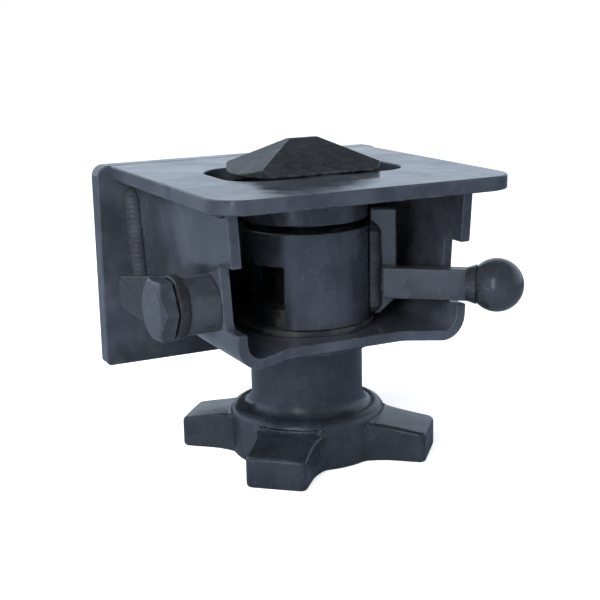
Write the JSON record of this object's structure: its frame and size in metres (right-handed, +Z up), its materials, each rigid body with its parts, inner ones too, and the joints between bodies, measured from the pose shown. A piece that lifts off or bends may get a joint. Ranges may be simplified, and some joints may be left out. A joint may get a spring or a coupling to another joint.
{
  "type": "container twistlock",
  "caption": "Screw-down container twistlock: slotted seat plate on a weld-on channel housing, turning head with ball handle, and a four-armed clamping nut.",
  "frame": {"origin": "centre of the weld face, the rear face of the back plate", "axes": "+Z up towards the container, +X across the housing to the handle's side, +Y out of the weld face, so the housing is open towards -Y"},
  "size_m": [0.2072, 0.18, 0.1852],
  "materials": {
    "housing_paint": "satin black paint over rolled steel",
    "weld_paint": "black paint over rippled weld beads",
    "forged_paint": "dull black paint over a rough forging",
    "sleeve_paint": "gloss black paint over turned steel",
    "handle_paint": "satin black paint",
    "knob_gloss": "gloss black dip coat",
    "nut_paint": "gloss black paint over a casting",
    "bolt_paint": "satin black paint over turned steel",
    "inner_steel": "greased turned steel"
  },
  "bodies": {
    "housing": {"top_plate": "housing_paint", "back_plate": "housing_paint", "housing_channel": "housing_paint", "guide_collar": "sleeve_paint", "floor_bush": "sleeve_paint", "plate_welds": "weld_paint", "back_plate_welds": "weld_paint", "bolt_boss": "bolt_paint", "strap_spacer": "bolt_paint", "stop_strap": "forged_paint", "bolt_washer": "bolt_paint", "stop_bolt": "bolt_paint"},
    "turn_ring": {"wear_ring": "inner_steel"},
    "lock": {"lock_head_shaft": "forged_paint", "sleeve_tube": "sleeve_paint", "sleeve_top_ring": "inner_steel", "sleeve_bottom_ring": "inner_steel", "drive_pin": "inner_steel", "handle_bar": "handle_paint", "handle_fin": "handle_paint", "fin_weld": "weld_paint", "bar_weld": "weld_paint", "handle_knob": "knob_gloss", "end_washer": "bolt_paint", "end_bolt": "bolt_paint"},
    "nut_washer": {"thrust_washer": "inner_steel"},
    "nut": {"star_nut": "nut_paint"}
  },
  "joints": [
    {"name": "lock_turn", "type": "hinge", "parent": "housing", "child": "turn_ring", "pos_m": [0, -0.093, -0.0185], "axis": [0, 0, 1], "range_deg": [-100, 0]},
    {"name": "lock_lift", "type": "slide", "parent": "turn_ring", "child": "lock", "axis": [0, 0, 1], "range_m": [0, 0.0038]},
    {"name": "nut_travel", "type": "slide", "parent": "lock", "child": "nut_washer", "axis": [0, 0, 1], "range_m": [-0.0081, 0]},
    {"name": "nut_spin", "type": "hinge", "parent": "nut_washer", "child": "nut", "pos_m": [0, -0.093, -0.09], "axis": [0, 0, 1], "range_deg": [-480, 0]}
  ],
  "couplings": [
    {"joint": "nut_travel", "follows": "nut_spin", "m_per_rad": 0.00095493}
  ]
}
